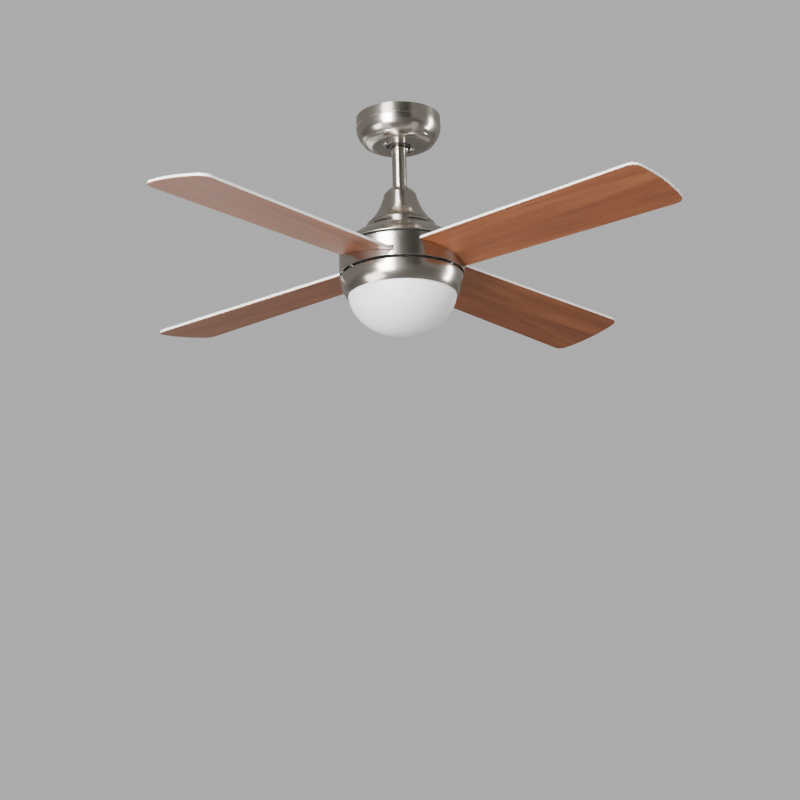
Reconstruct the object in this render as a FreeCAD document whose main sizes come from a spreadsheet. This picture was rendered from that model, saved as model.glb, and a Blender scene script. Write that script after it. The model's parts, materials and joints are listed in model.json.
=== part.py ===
import FreeCAD, Part
import math
import os
from types import SimpleNamespace

import Sketcher

# Ceiling fan with light.  Millimetres, +Z up, origin at the centre of the ceiling face.
# Everything hangs below the origin, so heights are negative.

DOC = FreeCAD.newDocument("CeilingFan")
SHEET = DOC.addObject("Spreadsheet::Sheet", "Size")
VECTOR = FreeCAD.Vector

SIZES = {
    # fits
    "slip_fit": 0.05,          # radial clearance of a pin, screw or shaft in its hole
    "screw_radius": 1.95,      # screws of the canopy, covers, earth and terminals
    "set_screw_radius": 2.5,
    # canopy
    "canopy_radius": 72.0,
    "canopy_height": 52.5,
    "canopy_wall": 1.0,
    "canopy_side": 17.6,       # height of the straight side above the bead
    "canopy_bead": 1.5,        # height of the bead round the side
    "canopy_ridge_radius": 59.5,
    "canopy_ridge_rise": 7.5,  # height of the ridge above the flat bottom
    "canopy_flat_radius": 42.0,
    "canopy_hole_radius": 21.4,
    "canopy_screw_circle": 26.0,
    "canopy_screw_angle": 33.0,
    # ceiling bracket
    "bracket_length": 128.0,
    "bracket_width": 34.0,
    "bracket_plate": 2.0,
    "bracket_slot_spacing": 88.9,
    "bracket_slot_length": 18.0,
    "bracket_slot_width": 5.0,
    "bracket_leg_reach": 33.0,
    "seat_plate": 2.5,
    "seat_plate_radius": 33.0,
    "seat_radius": 17.5,       # ball's own radius where it crosses the seat plate's underside
    "seat_relief": 1.8,        # extra radius below the seat, for the tilted rod
    "throat_clearance": 2.5,
    "seat_collar_height": 3.5,
    "seat_collar_radius": 22.2,
    # receiver and terminals
    "receiver_length": 84.0,
    "receiver_width": 46.0,
    "receiver_height": 17.0,
    "receiver_cover_height": 4.0,
    "receiver_wall": 1.6,
    "terminal_length": 28.0,
    "terminal_height": 18.0,
    "terminal_depth": 13.0,
    # hanger ball and rod
    "ball_radius": 23.0,
    "ball_top": 7.0,           # flat top above the ball's centre
    "ball_pin_radius": 2.5,
    "key_width": 4.2,
    "key_height": 4.2,
    "key_depth": 3.0,
    "key_shank_radius": 3.0,
    "rod_radius": 12.25,
    "rod_wall": 1.5,
    "rod_exposed": 76.5,       # bare rod between canopy and cone cover
    "lead_radius": 1.4,
    "lead_offset": 5.8,        # beside the cross pins
    # coupling
    "coupling_radius": 19.0,
    "coupling_flange_radius": 34.0,
    "coupling_flange": 3.0,
    "coupling_neck": 37.0,     # collar above the flange
    "coupling_socket": 24.0,   # depth of rod in the coupling
    "clevis_pin_radius": 3.0,
    # cone cover and motor cover
    "cone_hole_radius": 13.6,
    "cone_shoulder_bend": 40.0,
    "cone_flare_bend": 108.0,
    "cone_shoulder_radius": 27.5,
    "cone_shoulder_drop": 12.5,
    "cone_height": 68.0,
    "seam_radius": 58.5,
    "cover_wall": 1.2,
    "cover_headroom": 26.8,    # cover's depth beyond the stator's height
    "cover_radius": 106.7,
    "cover_bend": 140.0,
    "cover_screw_circle": 27.0,
    "vent_length_angle": 36.0,
    "vent_width": 2.6,
    "vent_drop": 6.6,
    "collar_height": 10.2,     # short collar under the seam, which the vents pierce
    "collar_overhang": 3.7,
    # motor
    "shaft_radius": 8.0,
    "shaft_bore": 5.0,
    "shaft_shoulder_radius": 10.5,
    "bearing_width": 8.0,
    "bearing_pitch_radius": 12.75,
    "bearing_ball_radius": 2.35,
    "bearing_outer_radius": 17.5,
    "stator_radius": 62.0,
    "stator_height": 18.0,
    "winding_height": 7.0,
    "air_gap": 0.6,
    "rotor_ring_radius": 80.0,
    "rotor_cover_wall": 3.0,
    "rotor_dome": 16.0,        # rotor cover's shoulder above the stator
    "rotor_screw_bore": 2.1,
    "strap_thickness": 2.0,    # straps that join the band to the rotor
    # band
    "spin_gap": 3.2,           # motor cover to band
    "band_radius": 105.3,
    "band_height": 41.5,
    "band_wall": 1.2,
    # blades
    "blade_tip_radius": 535.0,
    "blade_root_depth": 17.3,  # how far a blade's root reaches inside the band
    "blade_root_width": 114.0,
    "blade_tip_width": 136.0,
    "blade_corner": 18.5,
    "blade_tip_bow": 247.0,
    "blade_board": 4.2,
    "blade_laminate": 0.8,
    "blade_edge_band": 0.4,
    "blade_pitch": 10.0,
    "blade_azimuth": 49.5,
    "blade_drop": 23.2,        # underside of a blade below the band's top edge
    "blade_slot_gap": 0.8,     # clearance in the band's slot, below the blade and above the iron
    "blade_slot_margin": 1.3,  # clearance in the slot at each side of the blade
    "blade_screw_bore": 2.1,
    # blade irons
    "iron_plate": 2.5,
    "iron_width": 44.0,
    "iron_overhang": 62.7,     # iron beyond the band
    "iron_foot": 40.0,
    # lamp
    "lamp_gap": 3.6,           # band to lamp housing
    "housing_radius": 103.9,
    "housing_height": 33.5,
    "housing_rim_radius": 92.3,
    "housing_wall": 1.0,
    "housing_bend": 53.0,
    "lamp_plate": 1.5,
    "glass_radius": 91.7,
    "glass_depth": 75.5,       # ellipse, widest level to the bottom
    "glass_wall": 3.0,
    "glass_seat": 9.6,         # widest level of the glass above the housing's rim
    "lug_thick": 2.2,
    "tab_thick": 1.5,
    "lug_angle": 24.0,
    "tab_angle": 34.0,
    "tab_reach": 89.5,
    "bulb_radius": 22.5,
    "bulb_offset": 38.0,
    "holder_radius": 14.0,
    "holder_height": 27.0,
}


class Measure:
    """A length or angle that knows its number and the sheet formula behind it."""

    def __init__(self, value, text):
        self.value = value
        self.text = text

    def __add__(self, other):
        other = measure(other)
        return Measure(self.value + other.value, f"({self.text} + {other.text})")

    def __sub__(self, other):
        other = measure(other)
        return Measure(self.value - other.value, f"({self.text} - {other.text})")

    def __mul__(self, other):
        other = measure(other)
        return Measure(self.value * other.value, f"({self.text} * {other.text})")

    def __truediv__(self, other):
        other = measure(other)
        return Measure(self.value / other.value, f"({self.text} / {other.text})")

    def __neg__(self):
        return Measure(-self.value, f"(0 - {self.text})")

    def __radd__(self, other):
        return measure(other) + self

    def __rsub__(self, other):
        return measure(other) - self

    def __rmul__(self, other):
        return measure(other) * self


def measure(quantity):
    if isinstance(quantity, Measure):
        return quantity
    return Measure(float(quantity), f"({float(quantity):.6f})")


def root(quantity):
    quantity = measure(quantity)
    return Measure(math.sqrt(quantity.value), f"sqrt({quantity.text})")


def fill_sheet():
    """Write every driving size into the sheet and give back measures with the same names."""
    names = SimpleNamespace()
    for row, (alias, number) in enumerate(SIZES.items(), start=1):
        SHEET.set(f"A{row}", alias)
        SHEET.set(f"B{row}", str(number))
        SHEET.setAlias(f"B{row}", alias)
        setattr(names, alias, Measure(number, f"Size.{alias}"))
    return names


size = fill_sheet()
DOC.recompute()


# ---------------------------------------------------------------- helpers

def bind(thing, path, quantity):
    thing.setExpression(path, measure(quantity).text)


def place(thing, x=0, y=0, z=0, axis=(0, 0, 1), angle=0):
    """Put a thing at a point, turned by an angle about an axis through that point."""
    turn = FreeCAD.Rotation(VECTOR(*axis), measure(angle).value)
    spot = VECTOR(measure(x).value, measure(y).value, measure(z).value)
    thing.Placement = FreeCAD.Placement(spot, turn)
    for name, quantity in (("x", x), ("y", y), ("z", z)):
        if isinstance(quantity, Measure):
            bind(thing, f".Placement.Base.{name}", quantity)
    if isinstance(angle, Measure):
        bind(thing, ".Placement.Rotation.Angle", angle)
    return thing


ALONG_X = {"axis": (0, 1, 0), "angle": 90}
ALONG_Y = {"axis": (1, 0, 0), "angle": -90}
UPSIDE_DOWN = {"axis": (1, 0, 0), "angle": 180}


def cylinder(label, radius, height, sweep=360, **where):
    thing = DOC.addObject("Part::Cylinder", label)
    bind(thing, "Radius", radius)
    bind(thing, "Height", height)
    bind(thing, "Angle", sweep)
    return place(thing, **where)


def cone(label, lower, upper, height, **where):
    thing = DOC.addObject("Part::Cone", label)
    bind(thing, "Radius1", lower)
    bind(thing, "Radius2", upper)
    bind(thing, "Height", height)
    return place(thing, **where)


def block(label, length, width, height, x=0, y=0, z=0):
    """A box centred on x and y that rises from z."""
    thing = DOC.addObject("Part::Box", label)
    bind(thing, "Length", length)
    bind(thing, "Width", width)
    bind(thing, "Height", height)
    return place(thing, x=x - measure(length) / 2, y=y - measure(width) / 2, z=z)


def sphere(label, radius, **where):
    thing = DOC.addObject("Part::Sphere", label)
    bind(thing, "Radius", radius)
    return place(thing, **where)


def ellipsoid(label, radius, depth, **where):
    thing = DOC.addObject("Part::Ellipsoid", label)
    bind(thing, "Radius1", depth)
    bind(thing, "Radius2", radius)
    bind(thing, "Radius3", radius)
    return place(thing, **where)


def hexagon(label, flat_radius, height, **where):
    thing = DOC.addObject("Part::Prism", label)
    thing.Polygon = 6
    bind(thing, "Circumradius", measure(flat_radius) / math.cos(math.pi / 6))
    bind(thing, "Height", height)
    return place(thing, **where)


def group(label, items, **where):
    thing = DOC.addObject("Part::Compound", label)
    thing.Links = items
    return place(thing, **where)


def fuse(label, items):
    thing = DOC.addObject("Part::MultiFuse", label)
    thing.Shapes = items
    return thing


def cut(label, base, tools):
    thing = DOC.addObject("Part::Cut", label)
    thing.Base = base
    thing.Tool = tools[0] if len(tools) == 1 else fuse(label + "_tools", tools)
    return thing


def common(label, first, second):
    thing = DOC.addObject("Part::Common", label)
    thing.Base = first
    thing.Tool = second
    return thing


def around(label, item, count, first=0, step=None):
    """Copies of an item turned about the Z axis, as one group."""
    step = 360.0 / count if step is None else step
    turned_items = []
    for number in range(count):
        turned_items.append(group(f"{label}_at_{number + 1}", [item], angle=first + number * step))
    return group(label, turned_items)


def tube(label, outer, inner, height, **where):
    """A plain ring: the cylinder between two radii."""
    solid = cylinder(label + "_outside", outer, height, **where)
    bore = cylinder(label + "_inside", inner, height, **where)
    return cut(label, solid, [bore])


def ring_sector(label, outer, inner, height, sweep, z):
    """A piece of a ring, centred on the +X direction."""
    half_turn = measure(sweep) / -2
    outside = cylinder(label + "_outside", outer, height, sweep=sweep, z=z, angle=half_turn)
    inside = cylinder(label + "_inside", inner, height, z=z)
    return cut(label, outside, [inside])


# ---------------------------------------------------------------- outlines

def arc_centre(start, end, bend):
    """Centre of the arc from start to end; a positive bend keeps the centre on the left."""
    chord = end - start
    half = chord.Length / 2
    across = VECTOR(-chord.y, chord.x, 0).normalize()
    rise = math.sqrt(bend * bend - half * half)
    return (start + end) * 0.5 + across * math.copysign(rise, bend)


def edge_geometry(start, end, bend):
    """A line, or a short arc, and the numbers of its start and end points."""
    if bend is None:
        return Part.LineSegment(start, end), 1, 2
    centre = arc_centre(start, end, bend)
    circle = Part.Circle(centre, VECTOR(0, 0, 1), abs(bend))
    start_angle = math.atan2(start.y - centre.y, start.x - centre.x)
    end_angle = math.atan2(end.y - centre.y, end.x - centre.x)
    if bend > 0:
        return Part.ArcOfCircle(circle, start_angle, end_angle), 1, 2
    return Part.ArcOfCircle(circle, end_angle, start_angle), 2, 1


def pin_coordinate(sketch, kind, edge, point, quantity):
    """Tie one coordinate of a corner to its formula."""
    if abs(quantity.value) < 1e-9:
        axis = -2 if kind == "DistanceX" else -1
        sketch.addConstraint(Sketcher.Constraint("PointOnObject", edge, point, axis))
        return
    number = sketch.addConstraint(Sketcher.Constraint(kind, -1, 1, edge, point, quantity.value))
    sketch.setExpression(f"Constraints[{number}]", quantity.text)


def draw_outline(sketch, corners):
    """Closed outline.  A corner is (x, y) or (x, y, bend), bend being the radius of the arc leaving it."""
    corners = [tuple(measure(number) for number in corner) for corner in corners]
    spots = [VECTOR(corner[0].value, corner[1].value, 0) for corner in corners]
    ends = []
    for number, corner in enumerate(corners):
        following = spots[(number + 1) % len(spots)]
        bend = corner[2].value if len(corner) > 2 else None
        shape, start_point, end_point = edge_geometry(spots[number], following, bend)
        edge = sketch.addGeometry(shape)
        ends.append((edge, start_point, end_point))
    for number, (edge, start_point, end_point) in enumerate(ends):
        next_edge, next_start, _ = ends[(number + 1) % len(ends)]
        sketch.addConstraint(Sketcher.Constraint("Coincident", edge, end_point, next_edge, next_start))
        corner = corners[number]
        pin_coordinate(sketch, "DistanceX", edge, start_point, corner[0])
        pin_coordinate(sketch, "DistanceY", edge, start_point, corner[1])
        if len(corner) > 2:
            radius = corner[2] if corner[2].value > 0 else -corner[2]
            fixed = sketch.addConstraint(Sketcher.Constraint("Radius", edge, radius.value))
            sketch.setExpression(f"Constraints[{fixed}]", radius.text)


def sketch_on(body, role, name):
    sketch = body.newObject("Sketcher::SketchObject", name)
    plane = [feature for feature in body.Origin.OriginFeatures if feature.Role == role][0]
    sketch.AttachmentSupport = [(plane, "")]
    sketch.MapMode = "FlatFace"
    return sketch


def turned(label, corners, **where):
    """A body made by turning an outline of (radius, height) corners about the Z axis."""
    body = DOC.addObject("PartDesign::Body", label)
    sketch = sketch_on(body, "XZ_Plane", label + "_outline")
    draw_outline(sketch, corners)
    turn = body.newObject("PartDesign::Revolution", label + "_turn")
    turn.Profile = sketch
    turn.ReferenceAxis = (sketch, ["V_Axis"])
    turn.Angle = 360
    body.Tip = turn
    return place(body, **where)


def plate(label, corners, thickness, **where):
    """A body made by padding an outline of (x, y) corners upwards."""
    body = DOC.addObject("PartDesign::Body", label)
    sketch = sketch_on(body, "XY_Plane", label + "_outline")
    draw_outline(sketch, corners)
    pad = body.newObject("PartDesign::Pad", label + "_pad")
    pad.Profile = sketch
    bind(pad, "Length", thickness)
    body.Tip = pad
    return place(body, **where)


# ---------------------------------------------------------------- fasteners

def screw(label, radius, length, head_radius, head_height, **where):
    """Pan-head screw: the head stands on z = 0, the shank goes down; cross recess in the head."""
    head = turned(label + "_head", [
        (0, 0),
        (head_radius, 0),
        (head_radius, measure(head_height) * 0.45, measure(head_radius) * 1.6),
        (0, head_height),
    ])
    shank = cylinder(label + "_shank", radius, length, z=-measure(length))
    reach = measure(head_radius) * 1.2
    slot_width = measure(head_radius) * 0.22
    slot_floor = measure(head_height) * 0.4
    slots = [
        block(label + "_slot_a", reach, slot_width, head_height, z=slot_floor),
        block(label + "_slot_b", slot_width, reach, head_height, z=slot_floor),
    ]
    whole = fuse(label + "_blank", [head, shank])
    return group(label, [cut(label + "_cut", whole, slots)], **where)


def grub_screw(label, radius, length, **where):
    """Socket set screw along +Z from z = 0, its hexagon socket in the far end."""
    body = cylinder(label + "_body", radius, length)
    socket = hexagon(label + "_socket", measure(radius) * 0.5, measure(length), z=measure(length) * 0.6)
    return group(label, [cut(label + "_cut", body, [socket])], **where)


# ---------------------------------------------------------------- levels

canopy_floor = -(size.canopy_height - size.canopy_wall)
seat_top = canopy_floor + size.seat_plate
pivot = canopy_floor + root(size.ball_radius * size.ball_radius - size.seat_radius * size.seat_radius)
ball_crown = pivot + size.ball_top
ball_foot = canopy_floor - 0.5
rod_top = ball_crown + 2.6
pin_level = ball_crown - size.ball_pin_radius
cone_top = -(size.canopy_height + size.rod_exposed)
seam = cone_top - size.cone_height
cover_top = seam + 8.0
coupling_bottom = cover_top
coupling_top = coupling_bottom + size.coupling_flange + size.coupling_neck
rod_bottom = coupling_top - size.coupling_socket
shaft_top = rod_bottom - 2.0
clevis_level = coupling_top - 9.0
clip_spot = size.coupling_radius + 4.0
rod_screw_level = rod_bottom + 4.5
shaft_screw_level = coupling_bottom + size.coupling_flange + 5.5
cover_rim = seam - size.cover_headroom - size.stator_height
band_top = cover_rim - size.spin_gap
band_bottom = band_top - size.band_height
housing_top = band_bottom - size.lamp_gap
housing_rim = housing_top - size.housing_height
plate_top = housing_top - size.housing_wall
plate_bottom = plate_top - size.lamp_plate
blade_level = band_top - size.blade_drop
blade_thickness = size.blade_board + size.blade_laminate
rotor_bottom = band_top - 9.5
lower_bearing = rotor_bottom
stator_bottom = rotor_bottom + 13.5
winding_circle = size.stator_radius - 13.0
stator_top = stator_bottom + size.stator_height
rotor_edge = size.rotor_ring_radius + size.slip_fit + size.rotor_cover_wall
rotor_screw_circle = (size.stator_radius + size.rotor_ring_radius) / 2
upper_bearing = cover_top - size.cover_wall - 9.5 - size.bearing_width
glass_level = housing_rim + size.glass_seat
blade_root = size.band_radius - size.blade_root_depth
iron_reach = size.band_radius + size.iron_overhang
iron_foot_end = size.rotor_ring_radius - 2
housing_screw_circle = size.housing_radius - 5.5
lug_level = glass_level + 2.0      # underside of the bayonet lugs, just above the keeper's tabs


# ---------------------------------------------------------------- ceiling unit

EARTH_SPOT = (10.0, -16.0)       # y and z of the screws in the bracket's two legs
TERMINAL_SPOT = (-2.2, -29.0)


def canopy_screw_spots():
    """The two canopy screws stand opposite each other on a circle."""
    return [size.canopy_screw_angle + 180 * number for number in range(2)]


def make_canopy():
    ridge = -(size.canopy_height - size.canopy_ridge_rise)
    bowl_depth = size.canopy_height - size.canopy_ridge_rise - size.canopy_side - size.canopy_bead
    bowl_inset = size.canopy_radius - size.canopy_ridge_radius
    bowl_bend = (bowl_inset * bowl_inset + bowl_depth * bowl_depth) / (2 * bowl_inset)
    ridge_inner = size.canopy_ridge_radius - 1.8
    dish_inset = ridge_inner - size.canopy_flat_radius
    dish_depth = size.canopy_ridge_rise - 1.6
    dish_bend = (dish_inset * dish_inset + dish_depth * dish_depth) / (2 * dish_depth)
    wall = size.canopy_wall
    shell = turned("canopy_shell", [
        (size.canopy_radius, 0),
        (size.canopy_radius - wall, 0),
        (size.canopy_radius - wall, -size.canopy_side - size.canopy_bead, -(bowl_bend - wall)),
        (size.canopy_ridge_radius - wall, ridge + 0.3),
        (ridge_inner - wall, ridge - 0.9, -(dish_bend - wall)),
        (size.canopy_flat_radius, canopy_floor),
        (size.canopy_hole_radius, canopy_floor),
        (size.canopy_hole_radius, -size.canopy_height),
        (size.canopy_flat_radius, -size.canopy_height, dish_bend),
        (ridge_inner, ridge - 1.6),
        (size.canopy_ridge_radius - 0.5, ridge - 1.5, size.canopy_bead * 0.55),
        (size.canopy_ridge_radius, ridge, bowl_bend),
        (size.canopy_radius, -size.canopy_side - size.canopy_bead),
        (size.canopy_radius, -size.canopy_side - size.canopy_bead / 2, size.canopy_bead * 0.53),
        (size.canopy_radius, -size.canopy_side + size.canopy_bead / 2),
    ])
    circle = size.canopy_screw_circle
    slot_length = 9.0
    slot_radius = 2.2
    below = canopy_floor - 3
    entry = cylinder("keyhole_entry", 4.3, 4, x=circle, y=slot_length, z=below)
    slot = block("keyhole_slot", 2 * slot_radius, slot_length, 4, x=circle, y=slot_length / 2, z=below)
    end = cylinder("keyhole_end", slot_radius, 4, x=circle, z=below)
    keyhole = fuse("keyhole", [entry, slot, end])
    keyholes = around("keyholes", keyhole, 2, first=size.canopy_screw_angle)
    return cut("canopy", shell, [keyholes])


def make_canopy_screws():
    one = screw("canopy_screw", size.screw_radius, 7.5, 3.9, 2.2, x=size.canopy_screw_circle,
                z=-size.canopy_height, **UPSIDE_DOWN)
    return around("canopy_screws", one, 2, first=size.canopy_screw_angle)


def make_ceiling_bracket():
    """Folded hanger: ceiling plate, two legs and a seat plate with a throat for the rod."""
    thick = size.bracket_plate
    top = block("bracket_top", size.bracket_length, size.bracket_width, thick, z=-thick)
    legs = []
    for side in (-1, 1):
        legs.append(block(f"bracket_leg_{side + 2}", thick, size.bracket_width, -canopy_floor,
                          x=side * (size.bracket_leg_reach - thick / 2), z=canopy_floor))
    seat_disc = cylinder("seat_disc", size.seat_plate_radius, size.seat_plate, z=canopy_floor)
    collar = cylinder("seat_collar", size.seat_collar_radius, size.seat_collar_height, z=canopy_floor)
    blank = fuse("bracket_blank", [top, *legs, seat_disc, collar])
    hollow = sphere("seat_hollow", size.ball_radius + size.slip_fit, z=pivot)
    relief = cylinder("seat_relief", size.seat_radius + size.seat_relief, 4, z=canopy_floor - 2)
    throat_width = 2 * (size.rod_radius + size.throat_clearance)
    throat = block("seat_throat", throat_width, 40, 20, y=20, z=canopy_floor - 2)
    wire_hole = cylinder("wire_hole", 9, 3 * thick, z=-2 * thick)
    slots = []
    for side in (-1, 1):
        middle = side * size.bracket_slot_spacing / 2
        straight = size.bracket_slot_length - size.bracket_slot_width
        slots.append(block(f"ceiling_slot_{side + 2}", straight, size.bracket_slot_width, 3 * thick,
                           x=middle, z=-2 * thick))
        for end in (-1, 1):
            slots.append(cylinder(f"slot_end_{side + 2}_{end + 2}", size.bracket_slot_width / 2, 3 * thick,
                                  x=middle + end * straight / 2, z=-2 * thick))
    key_hole = cylinder("key_hole", size.key_shank_radius + size.slip_fit, 20,
                        x=-size.bracket_leg_reach - 10, z=pivot, **ALONG_X)
    screw_hole = size.screw_radius + size.slip_fit
    earth_hole = cylinder("earth_hole", screw_hole, 20, x=-size.bracket_leg_reach - 10,
                          y=EARTH_SPOT[0], z=EARTH_SPOT[1], **ALONG_X)
    terminal_hole = cylinder("terminal_hole", screw_hole, 20, x=size.bracket_leg_reach - 10,
                             y=TERMINAL_SPOT[0], z=TERMINAL_SPOT[1], **ALONG_X)
    tapped = cylinder("tapped_hole", screw_hole, 8, x=size.canopy_screw_circle, z=canopy_floor - 2)
    tapped_pair = around("tapped_holes", tapped, 2, first=size.canopy_screw_angle)
    return cut("ceiling_bracket", blank,
               [hollow, relief, throat, wire_hole, *slots, key_hole, earth_hole, terminal_hole, tapped_pair])


def receiver_box(label, floor, height, wall, open_side):
    outside = block(label + "_outside", size.receiver_width, size.receiver_length, height, z=floor)
    lift = wall if open_side == "top" else -wall
    inside = block(label + "_inside", size.receiver_width - 2 * wall, size.receiver_length - 2 * wall,
                   height, z=floor + lift)
    return outside, inside


def make_receiver():
    """Receiver box between the bracket's legs: case, cover and board."""
    cover_top_level = -size.bracket_plate
    joint = cover_top_level - size.receiver_cover_height
    floor = cover_top_level - size.receiver_height
    wall = size.receiver_wall
    outside, inside = receiver_box("case", floor, joint - floor, wall, "top")
    lead_hole = cylinder("case_lead_hole", size.lead_radius + 1.2, 6, x=size.lead_offset, z=floor - 2)
    hollow_case = cut("case_hollow", outside, [inside, lead_hole])
    outside, inside = receiver_box("cover", joint, size.receiver_cover_height, wall, "bottom")
    cover = cut("receiver_cover", outside, [inside])
    post_height = 4.5
    board_thick = 1.6
    posts = [cylinder(f"case_post_{n + 1}", 2.5, post_height, x=x, y=y, z=floor)
             for n, (x, y) in enumerate(((-16, -34), (16, -34), (-16, 34), (16, 34)))]
    case = fuse("receiver_case", [hollow_case, *posts])
    board_level = floor + post_height
    board_face = board_level + board_thick
    bare_board = block("board_plate", size.receiver_width - 2 * wall - 1, size.receiver_length - 2 * wall - 1,
                       board_thick, z=board_level)
    relays = [block(f"relay_{n + 1}", 10, 13, 7, x=-12, y=-24 + 16 * n, z=board_face) for n in range(3)]
    can = cylinder("board_can", 4, 7, x=10, y=26, z=board_face)
    film = block("board_film", 14, 8, 6, x=8, y=8, z=board_face)
    board_hole = cylinder("board_lead_hole", size.lead_radius + 1.2, 6, x=size.lead_offset, z=board_level - 2)
    board = cut("receiver_board", fuse("board_fused", [bare_board, *relays, can, film]), [board_hole])
    return case, cover, board


def make_terminals():
    """Three-way terminal block on the outside of a leg, with its six clamp screws."""
    floor = -38
    face = size.bracket_leg_reach
    outer_face = face + size.terminal_depth
    block_y, block_z = TERMINAL_SPOT
    body = block("terminal_body", size.terminal_depth, size.terminal_length, size.terminal_height,
                 x=face + size.terminal_depth / 2, z=floor)
    pitch = size.terminal_length / 3
    well_depth = 4
    tools = []
    screws = []
    for number in (-1, 0, 1):
        spot = number * pitch + 2.6
        tools.append(cylinder(f"terminal_bore_{number + 2}", 1.9, 40, x=face + 6, y=spot, z=floor - 5))
        for row, level in enumerate((floor + 4, floor + size.terminal_height - 4)):
            name = f"{number + 2}_{row + 1}"
            tools.append(cylinder(f"terminal_well_{name}", 2.0, 10,
                                  x=outer_face - well_depth, y=spot, z=level, **ALONG_X))
            screws.append(grub_screw(f"clamp_screw_{name}", 1.8, 3,
                                     x=outer_face - well_depth + 0.1, y=spot, z=level, **ALONG_X))
    block_screw = screw("block_screw", size.screw_radius, 18, 3.4, 2,
                        x=outer_face, y=block_y, z=block_z, **ALONG_X)
    tools.append(cylinder("block_screw_hole", size.screw_radius + size.slip_fit, 30,
                          x=face - 5, y=block_y, z=block_z, **ALONG_X))
    return cut("terminal_block", body, tools), group("terminal_screws", [*screws, block_screw])


def make_earth_screw():
    return screw("earth_screw", size.screw_radius, 8, 4, 2.4, x=-size.bracket_leg_reach,
                 y=EARTH_SPOT[0], z=EARTH_SPOT[1], axis=(0, 1, 0), angle=-90)


# ---------------------------------------------------------------- leads

def rounded_path(points):
    """Straight runs joined by tangent arcs, each arc as large as its two runs allow."""
    spots = [VECTOR(*(measure(number).value for number in point)) for point in points]
    edges = []
    start = spots[0]
    for before, corner, after in zip(spots, spots[1:], spots[2:]):
        into = corner - before
        out = after - corner
        reach = 0.45 * min(into.Length, out.Length)
        into.normalize()
        out.normalize()
        half_turn = into.getAngle(out) / 2
        radius = reach / math.tan(half_turn)
        first = corner - into * reach
        last = corner + out * reach
        inward = (out - into).normalize()
        middle = corner + inward * (radius / math.cos(half_turn) - radius)
        edges.append(Part.LineSegment(start, first).toShape())
        edges.append(Part.Arc(first, middle, last).toShape())
        start = last
    edges.append(Part.LineSegment(start, spots[-1]).toShape())
    return Part.Wire(edges)


def lead(label, points, radius):
    """A round lead along a path; its shape is swept in code from the sheet's sizes."""
    path = rounded_path(points)
    start = path.Edges[0].Vertexes[0].Point
    along = path.Edges[0].tangentAt(path.Edges[0].FirstParameter)
    section = Part.Wire([Part.Circle(start, along, measure(radius).value).toShape()])
    thing = DOC.addObject("Part::Feature", label)
    thing.Shape = Part.Solid(path.makePipeShell([section], True, False).Shells[0])
    return thing


def make_supply_lead():
    """From inside the receiver down to just above the ball's centre."""
    receiver_floor = -size.bracket_plate - size.receiver_height
    return cylinder("supply_lead", size.lead_radius, receiver_floor + 4.3 - (pivot + 1.5),
                    x=size.lead_offset, z=pivot + 1.5)


def make_motor_lead():
    bore_side = size.shaft_bore - size.lead_radius - 0.4
    exit_level = stator_top + 9
    return lead("motor_lead", [
        (size.lead_offset, 0, pivot - 1.5),
        (size.lead_offset, 0, clevis_level - 5),
        (bore_side, 0, shaft_top + 1),
        (bore_side, 0, exit_level + 4),
        (bore_side + 5, 0, exit_level),
        (size.stator_radius - 22, 0, exit_level),
    ], size.lead_radius)


def make_lamp_leads():
    """A lead down the shaft for each lamp, curving out to its holder."""
    pair = []
    outlet = plate_bottom - 10
    for side in (-1, 1):
        spot = side * 2.2
        pair.append(lead(f"lamp_lead_{side + 2}", [
            (-size.lead_offset, spot, pivot - 3),
            (-size.lead_offset, spot, clevis_level - 5),
            (-1.4, spot, shaft_top + 1),
            (-1.4, spot, outlet + 3),
            (side * 7.0, spot, outlet - 6.0),
            (side * (size.bulb_offset - size.holder_radius + 1.5), spot, outlet - 7.5),
        ], 1.0))
    return group("lamp_leads", pair)


# ---------------------------------------------------------------- hanger

def make_swivel_key():
    """Key that turns in the bracket's leg and slides in the ball's groove."""
    tip = size.ball_radius - size.key_depth
    leg_face = size.bracket_leg_reach
    shank = cylinder("key_shank", size.key_shank_radius, leg_face - size.ball_radius - 1,
                     x=-leg_face, z=pivot, **ALONG_X)
    head = cylinder("key_head", size.key_shank_radius + 1.8, 1.6, x=-leg_face - 1.6, z=pivot, **ALONG_X)
    tongue_length = size.key_depth + 1.5
    tongue = block("key_tongue", tongue_length, size.key_width, size.key_height,
                   x=-tip - tongue_length / 2, z=pivot - size.key_height / 2)
    return fuse("swivel_key", [shank, head, tongue])


def make_hanger_ball():
    ball = sphere("ball_blank", size.ball_radius, z=pivot)
    slab = cylinder("ball_slab", size.ball_radius + 1, ball_crown - ball_foot, z=ball_foot)
    flat_ball = common("ball_flats", ball, slab)
    bore = cylinder("ball_bore", size.rod_radius + size.slip_fit, 60, z=pivot - 30)
    pin_width = 2 * size.ball_pin_radius + 2 * size.slip_fit
    pin_slot = block("ball_pin_slot", pin_width, 60, 10, z=pin_level)
    pin_floor = cylinder("ball_pin_floor", pin_width / 2, 60, y=-30, z=pin_level, **ALONG_Y)
    groove_depth = size.key_depth + 1.7
    groove = block("ball_groove", groove_depth + 2, size.key_width + 0.2, 60,
                   x=-(size.ball_radius + 2 - (groove_depth + 2) / 2), z=pivot - 30)
    screw_hole = cylinder("ball_screw_hole", size.set_screw_radius + size.slip_fit, 20,
                          x=size.rod_radius, z=pivot - 3, **ALONG_X)
    return cut("hanger_ball", flat_ball, [bore, pin_slot, pin_floor, groove, screw_hole])


def make_ball_pin():
    length = 2 * (size.rod_radius + 6)
    return cylinder("ball_pin", size.ball_pin_radius, length, y=-length / 2, z=pin_level, **ALONG_Y)


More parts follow.
